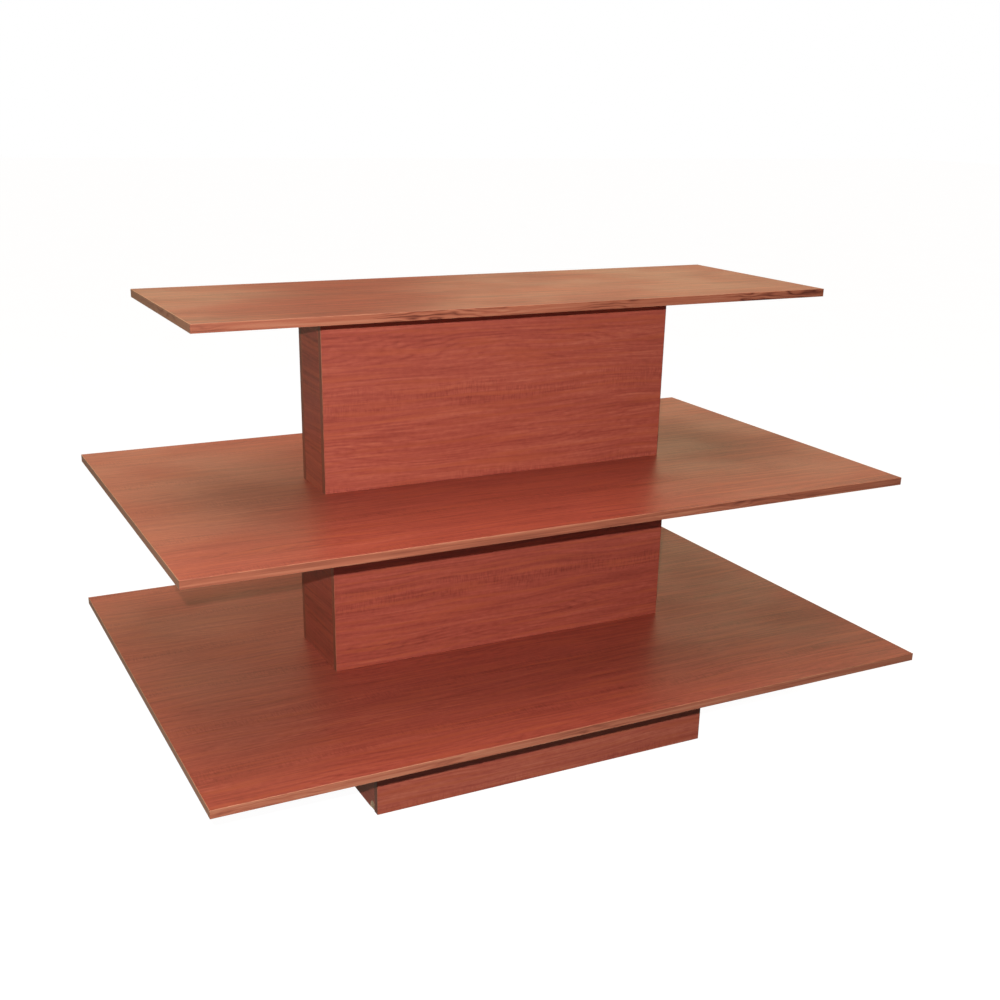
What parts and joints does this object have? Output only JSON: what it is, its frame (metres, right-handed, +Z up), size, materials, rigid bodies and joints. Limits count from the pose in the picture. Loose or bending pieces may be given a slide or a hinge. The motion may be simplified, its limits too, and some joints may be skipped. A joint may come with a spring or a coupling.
{
  "type": "tiered display table",
  "caption": "Tiered shop display table: rectangular wood-grain laminate shelves of falling depth on closed box risers and a low recessed plinth.",
  "frame": {"origin": "on the floor, under the middle of the table", "axes": "+X along the shelves, -Y out of the front, +Z up"},
  "size_m": [1.524, 1.05, 0.96],
  "materials": {
    "laminate_board": "satin red-brown wood-grain laminate on particleboard",
    "edge_band": "satin wood-grain edge banding, lighter and streakier than the boards",
    "zinc_cam": "bare die-cast zinc alloy",
    "plated_steel": "zinc-plated steel"
  },
  "bodies": {
    "root": {"plinth_front_panel": "laminate_board", "plinth_back_panel": "laminate_board", "plinth_left_end": "laminate_board", "plinth_right_end": "laminate_board", "plinth_cam_front_left": "zinc_cam", "plinth_cam_bolt_front_left": "plated_steel", "plinth_cam_front_right": "zinc_cam", "plinth_cam_bolt_front_right": "plated_steel", "plinth_cam_back_left": "zinc_cam", "plinth_cam_bolt_back_left": "plated_steel", "plinth_cam_back_right": "zinc_cam", "plinth_cam_bolt_back_right": "plated_steel", "lower_riser_front_panel": "laminate_board", "lower_riser_back_panel": "laminate_board", "lower_riser_left_end": "laminate_board", "lower_riser_right_end": "laminate_board", "lower_riser_cam_front_left": "zinc_cam", "lower_riser_cam_bolt_front_left": "plated_steel", "lower_riser_cam_front_right": "zinc_cam", "lower_riser_cam_bolt_front_right": "plated_steel", "lower_riser_cam_back_left": "zinc_cam", "lower_riser_cam_bolt_back_left": "plated_steel", "lower_riser_cam_back_right": "zinc_cam", "lower_riser_cam_bolt_back_right": "plated_steel", "upper_riser_front_panel": "laminate_board", "upper_riser_back_panel": "laminate_board", "upper_riser_left_end": "laminate_board", "upper_riser_right_end": "laminate_board", "upper_riser_cam_front_left": "zinc_cam", "upper_riser_cam_bolt_front_left": "plated_steel", "upper_riser_cam_front_right": "zinc_cam", "upper_riser_cam_bolt_front_right": "plated_steel", "upper_riser_cam_back_left": "zinc_cam", "upper_riser_cam_bolt_back_left": "plated_steel", "upper_riser_cam_back_right": "zinc_cam", "upper_riser_cam_bolt_back_right": "plated_steel", "bottom_shelf": "laminate_board", "lower_riser_screw_front_left": "plated_steel", "lower_riser_screw_front_right": "plated_steel", "lower_riser_screw_back_left": "plated_steel", "lower_riser_screw_back_right": "plated_steel", "bottom_shelf_band_front": "edge_band", "bottom_shelf_band_right": "edge_band", "bottom_shelf_band_back": "edge_band", "bottom_shelf_band_left": "edge_band", "middle_shelf": "laminate_board", "upper_riser_screw_front_left": "plated_steel", "upper_riser_screw_front_right": "plated_steel", "upper_riser_screw_back_left": "plated_steel", "upper_riser_screw_back_right": "plated_steel", "middle_shelf_band_front": "edge_band", "middle_shelf_band_right": "edge_band", "middle_shelf_band_back": "edge_band", "middle_shelf_band_left": "edge_band", "top_shelf": "laminate_board", "top_shelf_band_front": "edge_band", "top_shelf_band_right": "edge_band", "top_shelf_band_back": "edge_band", "top_shelf_band_left": "edge_band"}
  },
  "joints": []
}
